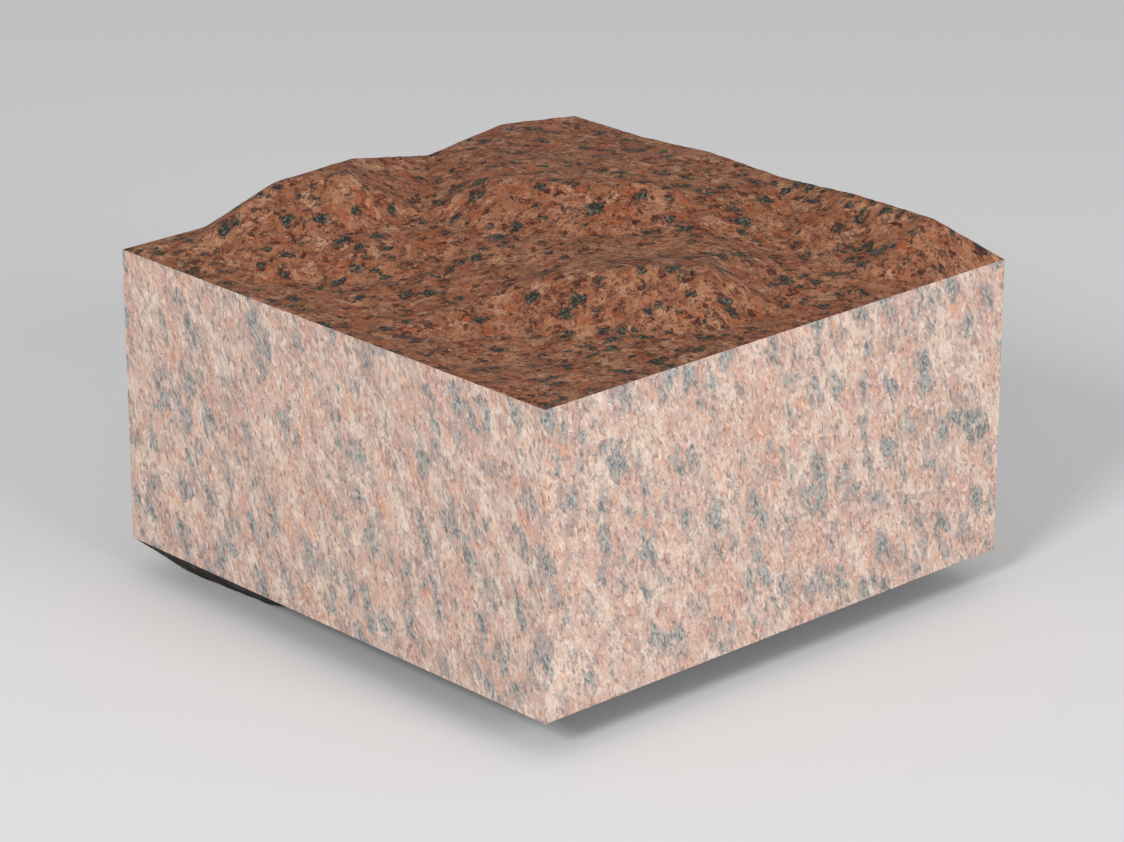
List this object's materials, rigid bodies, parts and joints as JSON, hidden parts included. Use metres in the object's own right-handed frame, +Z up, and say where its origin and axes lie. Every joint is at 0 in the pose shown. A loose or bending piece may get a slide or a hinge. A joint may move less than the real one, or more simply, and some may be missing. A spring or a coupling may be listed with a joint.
{
  "type": "granite sett",
  "caption": "Square granite paving sett with flat sawn sides, crisp straight arrises, and a rough split top and bed; one solid block of stone.",
  "frame": {"origin": "on the ground, below the middle of the square plan", "axes": "+Z up through the split top; X and Y square to the sawn sides"},
  "size_m": [0.1, 0.1, 0.0655],
  "materials": {
    "granite": "pink granite, sawn matt on the sides and split rough on the top and bed"
  },
  "bodies": {
    "root": {"granite_sett": "granite"}
  },
  "joints": []
}
